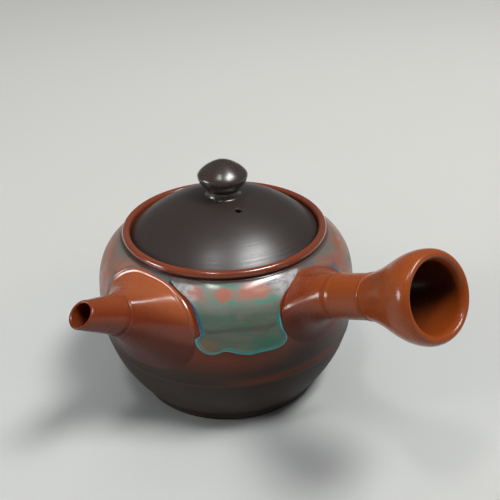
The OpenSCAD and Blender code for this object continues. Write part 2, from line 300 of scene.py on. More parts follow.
def body_radius(b, z):
    """Radius of the thrown outside: belly less a power of the height from the widest circle."""
    neck_radius, neck_height = neck(b)
    low = np.clip((b.belly_height - z) / (b.belly_height - b.ridge_height), 0, None)
    high = np.clip((z - b.belly_height) / (neck_height - b.belly_height), 0, None)
    radius = between(b.belly_radius, b.ridge_radius, low ** b.lower_power)
    radius = radius - (b.belly_radius - neck_radius) * high ** b.upper_power
    return radius + 0.00022 * bell(z, b.throwing_ridge, 0.0011)


def body_place(b, azimuth, z, out):
    """Point on the body at an azimuth and height, moved outwards along the normal by out."""
    step = 1e-5
    slope = (body_radius(b, z + step) - body_radius(b, z - step)) / (2 * step)
    run = np.sqrt(1 + slope ** 2)
    radius = body_radius(b, z) + out / run
    return np.stack(np.broadcast_arrays(radius * np.cos(azimuth), radius * np.sin(azimuth),
                                        z - out * slope / run), axis=-1)


def wall_point(b, z, out):
    """Point of the body's section at a height, moved along the normal, as radius and height."""
    place = body_place(b, 0.0, np.asarray(z, float), out)
    return place[..., [0, 2]]


class Line:
    """Axis of a spout or handle: points at a distance along it and a radius around it."""

    def __init__(self, azimuth, tilt, height):
        self.origin = np.array([0, 0, height])
        self.along = np.array([math.cos(tilt) * math.cos(azimuth), math.cos(tilt) * math.sin(azimuth),
                               math.sin(tilt)])
        self.side = np.array([-math.sin(azimuth), math.cos(azimuth), 0])
        self.up = np.cross(self.along, self.side)

    def spokes(self, turns):
        """Directions side cos t + up sin t."""
        return np.cos(turns)[..., None] * self.side + np.sin(turns)[..., None] * self.up

    def ring(self, distance, radius, turns):
        """Points origin + distance along + radius spokes."""
        return self.origin + distance[..., None] * self.along + radius[..., None] * self.spokes(turns)


UPRIGHT = Line(0, math.pi / 2, 0)


def spout_line(s):
    """The spout's axis, which climbs towards -X."""
    return Line(math.pi, s.tilt, s.axis_height)


def handle_line(h):
    """The handle's axis, turned from the spout's side."""
    return Line(math.pi + h.turn, h.tilt, h.axis_height)


def make_piece(name, rows, wrap=False, first=None, last=None, values=None, sharp=35):
    """Closed mesh from a grid of rows whose columns run round: joined rows, poles or wrapped rows."""
    count, around = rows.shape[:2]
    index = np.arange(count * around).reshape(count, around)
    shifted = np.roll(index, -1, axis=1)
    upper = np.roll(index, -1, axis=0) if wrap else index[1:]
    upper_shifted = np.roll(shifted, -1, axis=0) if wrap else shifted[1:]
    lower, lower_shifted = (index, shifted) if wrap else (index[:-1], shifted[:-1])
    quads = np.stack([lower, lower_shifted, upper_shifted, upper], axis=-1).reshape(-1, 4)
    points = rows.reshape(-1, 3)
    fans = []
    for pole, ring, turned in ((first, 0, True), (last, count - 1, False)):
        if pole is not None:
            tip = np.full(around, len(points))
            points = np.vstack([points, pole])
            ends = (index[ring], shifted[ring])
            fans.append(np.stack([*(ends[::-1] if turned else ends), tip], axis=-1))
    triangles = np.vstack([quads[:, [0, 1, 2]], quads[:, [0, 2, 3]], *fans])
    corners = points[triangles]
    volume = np.einsum("ij,ij->i", corners[:, 0], np.cross(corners[:, 1], corners[:, 2])).sum()
    step = 1 if volume > 0 else -1
    faces = quads[:, ::step].tolist() + np.reshape(fans, (-1, 3)).astype(int)[:, ::step].tolist()
    mesh = bpy.data.meshes.new(name)
    mesh.from_pydata(points.tolist(), [], faces)
    for label, numbers in (values or {}).items():
        numbers = np.asarray(numbers, float).reshape(count, around)
        ends = [numbers[ring].mean() for pole, ring in ((first, 0), (last, -1)) if pole is not None]
        numbers = np.concatenate([numbers.reshape(-1), ends])
        layer = mesh.attributes.new(label, "FLOAT", "POINT")
        layer.data.foreach_set("value", numbers.astype(np.float32))
    mesh.shade_smooth()
    mesh.set_sharp_from_angle(angle=math.radians(sharp))
    piece = bpy.data.objects.new(name, mesh)
    bpy.context.scene.collection.objects.link(piece)
    return piece


def revolve(section, line, count):
    """Turn a section of (radius, distance) points round a line, count places round."""
    return line.ring(section[:, 1:2], section[:, 0:1], full_turn(count)[None])


def apply_modifiers(piece):
    """Put the mesh that a piece's modifiers give in place of its own."""
    graph = bpy.context.evaluated_depsgraph_get()
    old = piece.data
    piece.data = bpy.data.meshes.new_from_object(piece.evaluated_get(graph))
    piece.modifiers.clear()
    bpy.data.meshes.remove(old)


def cut_round_hole(piece, line, start, end, radius):
    """Take a round hole along a line out of a piece."""
    rows = revolve(np.array([[radius, start], [radius, end]]), line, 64)
    tool = make_piece("hole_tool", rows, first=rows[0].mean(0), last=rows[1].mean(0))
    cut = piece.modifiers.new("hole", "BOOLEAN")
    cut.operation = "DIFFERENCE"
    cut.solver = "EXACT"
    cut.object = tool
    apply_modifiers(piece)
    bpy.data.objects.remove(tool)


def dress(piece, body, material, slot, *nodes):
    """Give a piece its material, the body that it rides on and the nodes that it stands for."""
    piece.data.materials.clear()
    piece.data.materials.append(material)
    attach(piece, body)
    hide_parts(*nodes)


class Nodes:
    """Short words for building one shader node tree."""

    def __init__(self, tree):
        self.tree = tree

    def put(self, value, socket):
        """Link an output to an input socket, or set the socket to a plain value."""
        if isinstance(value, bpy.types.NodeSocket):
            self.tree.links.new(value, socket)
        else:
            socket.default_value = value

    def add(self, kind, inputs=None, **settings):
        """One node: settings are its own fields, inputs are sockets to link or plain values."""
        node = self.tree.nodes.new(kind)
        for field, value in settings.items():
            setattr(node, field, value)
        for label, value in (inputs or {}).items():
            self.put(value, node.inputs[label])
        return node

    def stretch(self, vector, scale):
        """A vector with its three numbers scaled."""
        return self.add("ShaderNodeMapping", {"Vector": vector, "Scale": scale}).outputs[0]

    def place(self, scale=(1, 1, 1)):
        """Object coordinates, stretched."""
        return self.stretch(self.add("ShaderNodeTexCoord").outputs["Object"], scale)

    def parts(self, vector):
        """The three numbers of a vector."""
        return self.add("ShaderNodeSeparateXYZ", {0: vector}).outputs

    def math(self, operation, first, second=0.0):
        """One operation on one or two values."""
        return self.add("ShaderNodeMath", {0: first, 1: second}, operation=operation).outputs[0]

    def plus(self, first, *others):
        """Sum of values."""
        for other in others:
            first = self.math("ADD", first, other)
        return first

    def times(self, first, *others):
        """Product of values."""
        for other in others:
            first = self.math("MULTIPLY", first, other)
        return first

    def radius(self, x, y):
        """Distance from the upright axis: the root of x x + y y."""
        return self.math("SQRT", self.plus(self.times(x, x), self.times(y, y)))

    def range(self, value, low, high, start=0.0, end=1.0):
        """Soft step of a value from low to high."""
        inputs = {"Value": value, "From Min": low, "From Max": high, "To Min": start, "To Max": end}
        return self.add("ShaderNodeMapRange", inputs, interpolation_type="SMOOTHSTEP").outputs[0]

    def band(self, value, low, full, hold, end):
        """Soft band of a value: it rises from low to full and falls from hold to end."""
        return self.times(self.range(value, low, full), self.range(value, end, hold))

    def noise(self, vector, scale, detail, roughness=0.55, distortion=0.0):
        """Cloudy noise between 0 and 1."""
        inputs = {"Vector": vector, "Scale": scale, "Detail": detail, "Roughness": roughness,
                  "Distortion": distortion}
        return self.add("ShaderNodeTexNoise", inputs).outputs["Fac"]

    def swing(self, noise, amount):
        """A noise's swing about its middle, times an amount."""
        return self.times(self.math("SUBTRACT", noise, 0.5), amount)

    def ramp(self, value, stops):
        """Colour along a value: stops are (place, colour)."""
        node = self.add("ShaderNodeValToRGB", {"Fac": value})
        elements = node.color_ramp.elements
        while len(elements) < len(stops):
            elements.new(0.5)
        for element, (where, shade) in zip(elements, stops):
            element.position = where
            element.color = (*shade, 1)
        return node.outputs["Color"]

    def mix(self, share, first, second, blend="MIX"):
        """Colour between two others, which are sockets or plain colours."""
        node = self.add("ShaderNodeMix", {0: share}, data_type="RGBA", blend_type=blend)
        for place, shade in ((6, first), (7, second)):
            plain = not isinstance(shade, bpy.types.NodeSocket)
            self.put((*shade, 1) if plain else shade, node.inputs[place])
        return node.outputs[2]

    def tint(self, base, shade, *masks):
        """Colour drawn from base towards a shade by the product of masks."""
        return self.mix(self.times(*masks), base, shade)

    def layers(self, base, *coats):
        """Colour with coats laid over it in order: each is a shade and the masks that it shows by."""
        for shade, *masks in coats:
            base = self.tint(base, shade, *masks)
        return base

    def value(self, label):
        """A number that the piece's mesh carries."""
        return self.add("ShaderNodeAttribute", attribute_name=label).outputs["Fac"]

    def bump(self, height, strength, depth):
        """Normal bent by a height that is this many metres deep."""
        inputs = {"Height": height, "Strength": strength, "Distance": depth}
        return self.add("ShaderNodeBump", inputs).outputs[0]

    def group(self, tree, inputs):
        """Outputs of a shader node group with these inputs."""
        return self.add("ShaderNodeGroup", inputs, node_tree=tree).outputs


def shader_group(name, inputs, outputs, fill):
    """Shader node group, made on its first use: fill draws it and gives its output sockets."""
    if name in bpy.data.node_groups:
        return bpy.data.node_groups[name]
    tree = bpy.data.node_groups.new(name, "ShaderNodeTree")
    for way, sockets in (("INPUT", inputs), ("OUTPUT", outputs)):
        for label, kind in sockets.items():
            tree.interface.new_socket(label, in_out=way, socket_type="NodeSocket" + kind)
    n = Nodes(tree)
    n.add("NodeGroupOutput", fill(n, n.add("NodeGroupInput").outputs))
    return tree


def clay_group():
    """Burnished clay: cloudy firing colour, fine grit and a height for both."""
    def fill(n, given):
        cloud = n.noise(given["Vector"], 46, 4, 0.6, 0.4)
        wide = n.noise(given["Vector"], 17, 2, 0.5)
        grit = n.noise(given["Vector"], 2600, 2, 0.7)
        depth = n.plus(n.times(cloud, 0.6), n.times(wide, 0.4))
        light = n.plus(1.0, n.swing(depth, given["Cloud"]))
        warmer = {0: light, 1: n.math("POWER", light, 1.15), 2: n.math("POWER", light, 1.3)}
        firing = n.add("ShaderNodeCombineColor", warmer).outputs[0]
        toned = n.mix(1.0, given["Color"], firing, "MULTIPLY")
        fleck = n.range(grit, 0.66, 0.74, 0.0, 0.16)
        return {"Color": n.tint(toned, seen(60, 34, 26), fleck), "Grit": grit,
                "Height": n.plus(grit, n.times(cloud, 0.8))}

    return shader_group("burnished_clay", {"Vector": "Vector", "Color": "Color", "Cloud": "Float"},
                        {"Color": "Color", "Grit": "Float", "Height": "Float"}, fill)


def turning_group():
    """Fine rings that the turning tool leaves: a height that changes with one length."""
    def fill(n, given):
        across = n.add("ShaderNodeCombineXYZ", {0: n.times(given["Length"], given["Rings"])})
        return {"Height": n.noise(across.outputs[0], 1.0, 3, 0.6)}

    return shader_group("turning_rings", {"Length": "Float", "Rings": "Float"}, {"Height": "Float"}, fill)


def glaze_group():
    """Run glaze: streaks lying across, teal drifts and a height of small ripples."""
    def fill(n, given):
        wide = n.stretch(given["Vector"], (1, 1, 3.2))
        drift = n.noise(wide, 70, 4, 0.6, 0.9)
        streak = n.noise(n.stretch(given["Vector"], (1, 1, 7)), 90, 4, 0.6)
        base = n.mix(n.range(drift, 0.36, 0.68), given["Glaze"], given["Teal"])
        base = n.mix(n.range(streak, 0.46, 0.74, 0.0, 0.6), base, given["Rust"])
        return {"Color": base, "Drift": drift, "Height": n.noise(wide, 260, 2, 0.5)}

    return shader_group("run_glaze",
                        {"Vector": "Vector", "Glaze": "Color", "Teal": "Color", "Rust": "Color"},
                        {"Color": "Color", "Drift": "Float", "Height": "Float"}, fill)


def new_material(name):
    """Material with an empty tree; gives the material and its Nodes."""
    material = bpy.data.materials.new(name)
    material.use_nodes = True
    material.node_tree.nodes.clear()
    return material, Nodes(material.node_tree)


def surface(n, shade, roughness, normal, coat, coat_roughness, specular):
    """The clay or glaze shader itself, on the material's output."""
    inputs = {"Base Color": shade, "Roughness": roughness, "Normal": normal,
              "Coat Roughness": coat_roughness, "Coat Weight": coat, "Specular IOR Level": specular}
    shader = n.add("ShaderNodeBsdfPrincipled", inputs)
    n.add("ShaderNodeOutputMaterial", {"Surface": shader.outputs[0]})


def axis_length(n, line, direction):
    """Distance of a surface point from a line's origin in one direction, from object coordinates."""
    moved = n.add("ShaderNodeVectorMath", {0: n.place(), 1: tuple(line.origin)}, operation="SUBTRACT")
    ahead = n.add("ShaderNodeVectorMath", {0: moved.outputs[0], 1: tuple(direction)},
                  operation="DOT_PRODUCT")
    return ahead.outputs["Value"]


def clay_material(name, near, far, reach, line, gloss, coat, ring_depth, flash, underside_shade_end=1.0):
    """Burnished clay of a piece turned about a line: cloudy colour, tool rings and a thin sheen.

    The colour goes from near to far along the line between the two lengths of reach. The kiln's
    flash lightens the upper side by the two shares of flash, and smoke darkens the underside as
    far as smoke_end."""
    material, n = new_material(name)
    along = axis_length(n, line, line.along)
    above = axis_length(n, line, line.up)
    # upper: share of the upper side that gets a painted highlight, a lighter colour standing in for top
    # light
    upper = n.range(above, 0.002, 0.011)
    # under: share of the underside that gets painted shade, up to a given length along the line
    under = n.times(n.range(above, 0.001, -0.006), n.range(along, underside_shade_end, underside_shade_end - 0.008))
    # low: painted shade, the clay darker towards the bottom
    low = n.range(n.parts(n.place())[2], 0.06, 0.038)
    base = n.layers(near, (far, n.range(along, *reach)),
                    # painted highlight on the upper side
                    (seen(172, 98, 56), upper, n.range(along, *reach, *flash)),
                    # painted shade on the underside
                    (seen(74, 34, 22), under, 0.55),
                    # painted shade inside a hollow
                    (seen(38, 16, 10), n.value("hollow"), 0.9),
                    # painted shade towards the bottom
                    (seen(58, 27, 20), low, 0.8))
    clay = n.group(clay_group(), {"Vector": n.place(), "Color": base, "Cloud": 0.55})
    rings = n.group(turning_group(), {"Length": along, "Rings": 900.0})
    grain = n.range(clay["Grit"], 0.3, 0.7, gloss - 0.05, gloss + 0.06)
    streak = n.range(rings["Height"], 0.35, 0.65, -0.05 * ring_depth, 0.05 * ring_depth)
    roughness = n.plus(grain, streak, n.times(low, 0.12))
    height = n.plus(n.times(rings["Height"], ring_depth), clay["Height"])
    sheen = n.range(n.math("MAXIMUM", low, under), 0.0, 1.0, coat, coat * 0.1)
    sheen = n.times(sheen, n.range(along, *reach, 1.0, 0.55))
    normal = n.bump(height, strength=0.16, depth=0.00022)
    surface(n, clay["Color"], roughness, normal, sheen, coat_roughness=0.15, specular=0.18)
    return material


def body_material(f):
    """Thrown body: smoked black below, red above, an orange flash between, brown inside.

    Lengths are heights above the table in metres."""
    material, n = new_material("body_clay")
    coordinates = n.place()
    x, y, z = n.parts(coordinates)
    turn = n.math("ARCTAN2", y, x)

    def sector(*degrees):
        """Soft band of the angle round the body."""
        return n.band(turn, *(math.radians(value) for value in degrees))

    level = n.plus(z, n.swing(n.noise(n.place((1, 1, 0.6)), 30, 3, 0.5), 0.006))
    lifted = n.times(sector(-132, -104, -60, -30), 0.003)
    smoke = n.range(n.math("SUBTRACT", level, lifted), 0.031, 0.0525)
    flash = n.times(n.band(level, 0.0278, 0.0296, 0.0305, 0.0345), sector(-152, -118, -88, -62))
    lip = n.range(z, 0.0715, 0.0725)
    neck_strip = n.band(z, 0.0685, 0.0692, 0.0716, 0.0722)
    inside = n.value("inside")
    base = n.layers(tuple(f.dark_clay), (tuple(f.red_clay), smoke),
                    (seen(118, 54, 28), flash, 0.4),
                    (seen(116, 53, 29), lip),
                    (seen(52, 52, 54), neck_strip, 0.8),
                    (seen(104, 50, 32), inside, n.range(z, 0.0725, 0.0705)))
    clay = n.group(clay_group(), {"Vector": coordinates, "Color": base, "Cloud": 0.5})
    rings = n.group(turning_group(), {"Length": z, "Rings": 700.0})
    gloss = n.math("SUBTRACT", n.range(z, 0.028, 0.04, 0.5, 0.3), n.range(z, 0.066, 0.071, 0.0, 0.12))
    roughness = n.plus(gloss, n.range(clay["Grit"], 0.3, 0.7, -0.04, 0.06))
    height = n.plus(n.times(rings["Height"], 1.5), clay["Height"])
    coat = n.plus(n.range(z, 0.034, 0.05, 0.0, 0.3), n.range(z, 0.068, 0.071, 0.0, 0.7))
    coat = n.times(coat, n.range(inside, 1.0, 0.0))
    normal = n.bump(height, strength=0.2, depth=0.00025)
    surface(n, clay["Color"], roughness, normal, coat, coat_roughness=0.11, specular=0.18)
    return material


def lid_material(name, base, rings_share, gloss, coat, relief):
    """Black clay turned on the wheel: fine rings about the upright axis and a soft sheen."""
    material, n = new_material(name)
    coordinates = n.place()
    x, y, z = n.parts(coordinates)
    path = n.math("SUBTRACT", n.radius(x, y), n.times(z, rings_share))
    rings = n.group(turning_group(), {"Length": path, "Rings": 1500.0})
    clay = n.group(clay_group(), {"Vector": coordinates, "Color": (*base, 1), "Cloud": 0.5})
    roughness = n.plus(n.range(rings["Height"], 0.3, 0.7, gloss - 0.05, gloss + 0.05),
                       n.range(clay["Grit"], 0.3, 0.7, -0.03, 0.04))
    height = n.plus(n.times(rings["Height"], 1.6), clay["Height"])
    normal = n.bump(height, strength=relief, depth=0.0002)
    surface(n, clay["Color"], roughness, normal, coat, coat_roughness=0.25, specular=0.6)
    return material


def front_glaze_material(f):
    """Front run: teal and grey green, salmon and blue flushes above, a turquoise pooled edge.

    rise goes from 0 at the run's foot to 1 under the lip, across from 0 beside the spout to 1 beside
    the handle, and rim is the distance from the run's edge in millimetres."""
    material, n = new_material("front_run_glaze")
    rise, across, rim = n.value("rise"), n.value("across"), n.value("rim")
    made = n.group(glaze_group(), {"Vector": n.place(), "Glaze": (*f.glaze, 1), "Teal": (*f.teal, 1),
                                   "Rust": (*seen(92, 78, 66), 1)})
    level = n.plus(rise, n.swing(n.noise(n.place((1, 1, 1.5)), 105, 3, 0.5, 0.3), 0.14))
    blot = n.noise(n.place((1, 1, 1.3)), 170, 2, 0.45, 0.2)
    brown_band = n.band(level, 0.37, 0.42, 0.44, 0.5)
    # paler grey towards the top: partly the glaze's own grey, partly a painted sheen
    pale_top_sheen = n.range(level, 0.58, 0.82)
    drop = n.times(n.band(level, 0.72, 0.76, 0.81, 0.86), n.range(blot, 0.5, 0.58))
    black, white = (0.0, 0.0, 0.0), (1.0, 1.0, 1.0)
    bend = n.swing(n.noise(n.place((1, 1, 1.6)), 210, 3, 0.6), 0.34)
    spread = n.plus(n.times(across, 0.8), 0.1, bend)
    patches = n.ramp(spread, [(0.02, black), (0.06, white), (0.15, white), (0.19, black), (0.25, black),
                              (0.29, white), (0.42, white), (0.47, black), (0.51, white), (0.76, white),
                              (0.83, black)])
    flush = n.times(n.band(level, 0.77, 0.84, 0.94, 0.97), patches, n.range(blot, 0.26, 0.42, 0.45, 1.0))
    teal_band = n.times(n.band(level, 0.92, 0.945, 0.965, 0.985), n.range(across, 0.62, 0.42))
    green = n.times(n.range(rise, 0.36, 0.2), n.range(across, 0.48, 0.68))
    # the two sides and the corner mask below mark a painted reflection: pale grey sheen on the run's upper
    # corners
    sheen_sides = n.math("MAXIMUM", n.range(across, 0.08, -0.08), n.range(across, 0.86, 1.0))
    mottle = n.range(n.noise(n.place((1, 1, 2)), 260, 3, 0.6), 0.36, 0.58, 0.25, 1.0)
    corner = n.times(sheen_sides, n.range(rise, 0.7, 0.84), mottle)
    blue = n.range(n.noise(n.place((1, 1, 5)), 240, 2), 0.54, 0.62)
    fleck = n.times(blue, n.band(rise, 0.89, 0.915, 0.945, 0.97), n.range(across, 0.62, 0.8))
    # brim: a darker brown band under the lip, partly the glaze's dark brim, partly painted shade under the
    # lip
    brim = n.range(n.plus(rise, n.range(across, 0.5, -0.2, 0.0, 0.025)), 0.955, 0.985)
    warm = n.times(n.range(across, 0.36, 0.1), n.range(rise, 0.34, 0.2))
    pool = n.times(n.range(rim, 3.2, 1.0), n.range(rise, 0.7, 0.45))
    uneven = n.range(n.noise(n.place(), 120, 2), 0.36, 0.56, 0.3, 1.0)
    bead = n.times(n.range(rim, 1.25, 0.75), n.range(rise, 0.72, 0.5), uneven)
    left = n.times(n.range(across, 0.16, 0.06), n.band(rise, 0.28, 0.36, 0.7, 0.92),
                   n.range(rim, 2.2, 0.9))
    base = n.layers(made["Color"],
                    (seen(66, 58, 52), brown_band, 0.5),
                    # the glaze's grey and a painted sheen towards the top
                    (seen(122, 122, 114), pale_top_sheen, 0.7),
                    (seen(58, 126, 110), drop, 0.7),
                    (tuple(f.salmon), flush, 0.8),
                    (seen(58, 118, 104), teal_band, 0.85),
                    (seen(34, 98, 82), green, 0.6),
                    # painted reflection on the upper corners
                    (seen(172, 168, 170), corner, 0.75),
                    (tuple(f.indigo), fleck, 0.6),
                    # dark brim and painted shade under the lip
                    (seen(66, 44, 36), brim, 0.85),
                    (seen(134, 88, 64), warm, 0.6),
                    (POOL_TEAL, pool, 0.75),
                    (tuple(f.pool), bead),
                    (seen(24, 70, 106), left),
                    (GLAZE_EDGE, n.range(rim, *THIN_EDGE), 0.85))
    smoother = n.plus(n.range(rim, 2.4, 1.0, 0.0, 0.28), n.times(brim, 0.12))
    gloss = n.math("SUBTRACT", n.range(made["Drift"], 0.35, 0.65, 0.46, 0.56), smoother)
    coat = n.math("MAXIMUM", n.range(rim, 3.0, 1.0, 0.05, 0.9), brim)
    normal = n.bump(made["Height"], strength=0.16, depth=0.0003)
    surface(n, base, gloss, normal, coat, coat_roughness=0.14, specular=0.28)
    return material


def rear_glaze_material(f):
    """Rear coat: thin pink brown glaze with lilac grey, blue and teal drifts and a teal lower edge.

    rise and rim are as on the front run."""
    material, n = new_material("rear_run_glaze")
    rise, rim = n.value("rise"), n.value("rim")
    made = n.group(glaze_group(), {"Vector": n.place(), "Glaze": (*seen(138, 86, 69), 1),
                                   "Teal": (*seen(122, 96, 84), 1), "Rust": (*seen(124, 74, 60), 1)})
    cloud = n.noise(n.place((1, 1, 1.4)), 62, 4, 0.55, 0.5)
    spot = n.noise(n.place((1, 1, 1.6)), 120, 2)
    teal_band = n.times(n.range(rise, 0.84, 0.92), n.range(spot, 0.46, 0.6))
    under_lip = n.times(n.range(rise, 0.84, 0.97), n.range(cloud, 0.4, 0.58, 0.15, 0.65))
    border = n.times(n.range(rim, 2.8, 0.8), n.range(spot, 0.4, 0.56, 0.0, 0.45))
    low = n.range(rise, 0.28, 0.02)
    # brim: a darker brown band under the lip, partly the glaze's dark brim, partly painted shade under the
    # lip
    brim = n.range(rise, 0.955, 0.99)
    hangs = n.range(rise, 0.8, 0.55)
    uneven = n.range(n.noise(n.place(), 90, 2), 0.36, 0.6, 0.2, 1.0)
    base = n.layers(made["Color"],
                    (seen(104, 92, 82), n.range(cloud, 0.5, 0.68), 0.65),
                    (seen(154, 120, 112), n.range(cloud, 0.44, 0.34), 0.6),
                    (seen(66, 74, 100), n.range(spot, 0.58, 0.76), 0.6),
                    (seen(70, 108, 100), teal_band, 0.5),
                    (seen(90, 96, 92), under_lip),
                    (seen(58, 78, 92), border),
                    (seen(84, 92, 86), low, 0.6),
                    # dark brim and painted shade under the lip
                    (seen(70, 56, 50), brim, 0.8),
                    (POOL_TEAL, n.range(rim, 2.6, 0.9), hangs, 0.6),
                    (tuple(f.pool), n.range(rim, 1.2, 0.7), hangs, uneven, 0.9),
                    (GLAZE_EDGE, n.range(rim, *THIN_EDGE), 0.85))
    smoother = n.range(rim, 2.4, 1.0, 0.0, 0.2)
    gloss = n.math("SUBTRACT", n.range(made["Drift"], 0.35, 0.65, 0.36, 0.48), smoother)
    coat = n.range(rim, 3.0, 1.0, 0.2, 0.9)
    normal = n.bump(made["Height"], strength=0.16, depth=0.0003)
    surface(n, base, gloss, normal, coat, coat_roughness=0.14, specular=0.24)
    return material


class OBJECT_OT_teapot_body(bpy.types.Operator):
    """Thrown body with foot, rolled lip, seat and inside"""
    bl_idname = "object.teapot_body"
    bl_label = "Thrown body"

    def execute(self, context):
        b, s, f = sets(context, "body", "spout", "finish")
        rounding = 0.0004
        seat = b.lip_height - b.seat_depth
        ledge = seat - b.seat_thickness
        floor = b.hollow + b.floor
        ring = b.base_radius - b.land
        waist = b.ridge_radius - b.undercut
        rise = neck(b)[1] - b.belly_height
        under = [[ring - b.hollow - 0.004, b.hollow], [ring - b.hollow, b.hollow], [ring, 0.0002],
                 [ring + 0.0006, 0]]
        foot = [[b.base_radius - 2 * rounding, 0], [b.base_radius - 0.0001, 0.0006]]
        neckline = bezier([[b.base_radius, 0.0012], [waist, 0.003],
                           [waist + 0.0002, b.ridge_height - 0.0014],
                           [b.ridge_radius - 0.0003, b.ridge_height - rounding]], 14)
        low = wall_point(b, np.linspace(b.ridge_height, b.belly_height, 90), 0)
        climb = np.sin(np.linspace(0.02, math.pi / 2, 80))
        shoulder = wall_point(b, b.belly_height + rise * climb, 0)
        lip = arc(lip_centre(b), b.lip_width / 2, -60, 172, 36)
        gallery = [[b.gallery_radius, seat + rounding], [b.gallery_radius - 0.0003, seat],
                   [b.mouth_radius + rounding, seat], [b.mouth_radius, seat - rounding],
                   [b.mouth_radius, ledge + 2 * rounding], [b.mouth_radius + 2 * rounding, ledge]]
        fall = np.sin(np.linspace(math.pi / 2, 0.02, 50))
        inside = wall_point(b, b.belly_height + (rise - 2 * rounding) * fall, -b.wall)
        inner = wall_point(b, np.linspace(b.belly_height, b.ridge_height + 0.008, 30), -b.wall)
        foot_of_wall = inner[-1]
        corner = bezier([foot_of_wall, [foot_of_wall[0] - 0.003, floor],
                         [foot_of_wall[0] - 0.014, floor]], 14)[1:]
        bottom = np.column_stack([np.linspace(corner[-1][0], 0.002, 8)[1:], np.full(7, floor)])
        outside = np.vstack([under, foot, neckline, low, shoulder, lip])
        section = np.vstack([outside, gallery, inside, inner, corner, bottom])
        rows = revolve(section, UPRIGHT, 288)
        inside_share = np.repeat(np.arange(len(section)) >= len(outside), rows.shape[1])
        piece = make_piece("thrown_body", rows, first=[0, 0, b.hollow], last=[0, 0, floor],
                           values={"inside": inside_share})
        cut_round_hole(piece, spout_line(s), 0.043, 0.071, s.hole_radius)
        dress(piece, "pot", body_material(f), "red_clay", "pot_body")
        return {"FINISHED"}


def root_border(b, oval, turns):
    """Superellipse on the body round a luted root, as azimuth and height for each place round."""
    across, rise = np.cos(turns), np.sin(turns)
    stretch = (np.abs(across) ** oval.power + np.abs(rise) ** oval.power) ** (-1 / oval.power)
    azimuth = oval.turn + np.where(across > 0, oval.right, oval.left) * stretch * across
    height = oval.height + np.where(rise > 0, oval.up, oval.down) * stretch * rise
    return azimuth, np.minimum(height, neck(b)[1] - 0.0009)


def root_angles(oval, azimuth):
    """Angle of an azimuth from a root's middle, and the root's half angle on that side."""
    away = np.mod(azimuth - oval.turn + math.pi, 2 * math.pi) - math.pi
    return np.abs(away), np.where(away > 0, oval.right, oval.left)


def root_top(oval, azimuth):
    """Height of a root's upper border at an azimuth, and 0 beside the root."""
    away, half = root_angles(oval, azimuth)
    share = away / half
    top = oval.height + oval.up * np.clip(1 - share ** oval.power, 0, 1) ** (1 / oval.power)
    return np.where(share < 1, top, 0)


def beside_root(oval, azimuth):
    """Bell curve of the angle beyond a root's side: 1 at its border, falling to 0 beside it."""
    away, half = root_angles(oval, azimuth)
    return bell(np.maximum(away - half, 0), 0, 0.1)


def luted_root(b, line, turns, seam, border, bulge, fair):
    """Skin of a root: rulings from its border on the body to the seam ring.

    A ruling is straight with a half sine bulge, mixed with a Hermite curve that leaves the body
    along its wall and reaches the seam along the axis; fair is the curve's share below and above.
    A thin roll and a crease follow the upper border, as Gauss bumps of the distance from it."""
    azimuth, height = border
    crisp = smooth(np.sin(turns), -0.3, 0.3)
    sunk = body_place(b, azimuth, height, -0.0006)
    start = body_place(b, azimuth, height, FILM + 0.0002 * crisp)
    normal = (start - sunk) / norm(start - sunk)
    ruling = line.ring(np.full_like(turns, seam[0]), np.full_like(turns, seam[1]), turns) - start
    size = norm(ruling)
    spokes = line.spokes(turns)
    away = spokes - ruling / size * dot(spokes, ruling / size)
    away /= norm(away)
    # the power packs the rows towards the border
    t = (np.linspace(0, 1, ROOT_ROWS) ** 1.5)[:, None]
    u = t[..., None]
    straight = start + ruling * u + away * (bulge * np.sin(np.pi * t))[..., None]
    leave = ruling - normal * dot(ruling, normal)
    # the curve leaves at one and a half times the ruling's length, or less where it is steep
    leave *= np.minimum(2.6, 1.5 * size / norm(leave))
    faired = (start + leave * (u - 2 * u ** 2 + u ** 3) + ruling * (3 * u ** 2 - 2 * u ** 3)
              + line.along * size * (u ** 3 - u ** 2))
    share = between(*fair, smooth(np.sin(turns), -0.75, 0.25))[:, None]
    gone = t * size.T
    roll = 0.00028 * bell(gone, 0.0007, 0.0005) - 0.00016 * bell(gone, 0.0019, 0.0007)
    skin = between(straight, faired, share) + (roll * crisp)[..., None] * normal
    return np.concatenate([sunk[None], skin])


